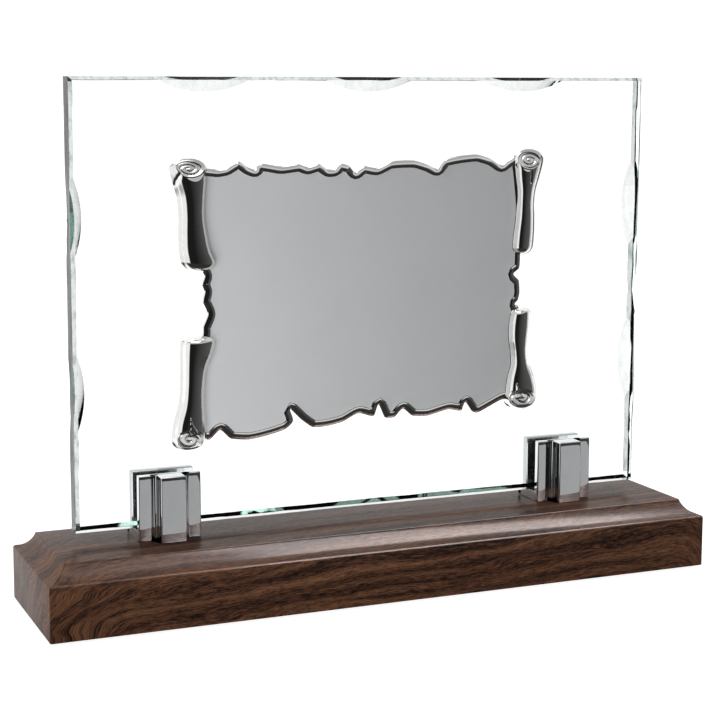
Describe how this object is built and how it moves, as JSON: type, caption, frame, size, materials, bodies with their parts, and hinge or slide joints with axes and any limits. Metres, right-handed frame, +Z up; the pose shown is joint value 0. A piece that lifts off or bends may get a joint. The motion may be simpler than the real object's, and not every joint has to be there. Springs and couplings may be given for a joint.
{
  "type": "glass award plaque",
  "caption": "Clear glass award plate with an embossed silver scroll on its front, held upright by fluted chrome clamps on a moulded dark wood base.",
  "frame": {"origin": "centre of the underside of the base, at the felt's lower face", "axes": "+X along the base to the right seen from the front, +Y from front to back, +Z up"},
  "size_m": [0.228, 0.051, 0.1672],
  "materials": {
    "base_wood": "dark brown, satin lacquer, straight grain with a curved figure at the ends",
    "felt": "short black pile",
    "clamp_chrome": "polished chrome plating",
    "clear_liner": "clear soft vinyl",
    "screw_steel": "bright zinc-plated steel",
    "shoe_plastic": "natural nylon",
    "plate_glass": "clear, polished, faintly green at the edges",
    "scroll_silver": "silver plating: satin sheet, polished rim and rolls",
    "clear_tape": "clear double-sided tape"
  },
  "bodies": {
    "plaque": {"base_block": "base_wood", "base_felt": "felt", "clamp_left": "clamp_chrome", "clamp_right": "clamp_chrome", "jaw_liner_left": "clear_liner", "jaw_liner_right": "clear_liner", "floor_pad_left": "clear_liner", "floor_pad_right": "clear_liner", "base_screw_left": "screw_steel", "base_screw_right": "screw_steel", "washer_left": "screw_steel", "washer_right": "screw_steel", "glass_plate": "plate_glass", "scroll_plate": "scroll_silver", "tape_upper": "clear_tape", "tape_lower": "clear_tape"},
    "left_shoe": {"pressure_shoe_left": "shoe_plastic"},
    "left_screw": {"pinch_screw_left": "screw_steel"},
    "right_shoe": {"pressure_shoe_right": "shoe_plastic"},
    "right_screw": {"pinch_screw_right": "screw_steel"}
  },
  "joints": [
    {"name": "left_shoe_travel", "type": "slide", "parent": "plaque", "child": "left_shoe", "axis": [0, 1, 0], "range_m": [0, 0.0014]},
    {"name": "left_screw_turn", "type": "hinge", "parent": "left_shoe", "child": "left_screw", "pos_m": [-0.0705, 0.0084, 0.0363], "axis": [0, 1, 0], "range_deg": [0, 720]},
    {"name": "right_shoe_travel", "type": "slide", "parent": "plaque", "child": "right_shoe", "axis": [0, 1, 0], "range_m": [0, 0.0014]},
    {"name": "right_screw_turn", "type": "hinge", "parent": "right_shoe", "child": "right_screw", "pos_m": [0.0705, 0.0084, 0.0363], "axis": [0, 1, 0], "range_deg": [0, 720]}
  ],
  "couplings": [
    {"joint": "left_screw_turn", "follows": "left_shoe_travel", "rad_per_m": 8976},
    {"joint": "right_screw_turn", "follows": "right_shoe_travel", "rad_per_m": 8976}
  ]
}
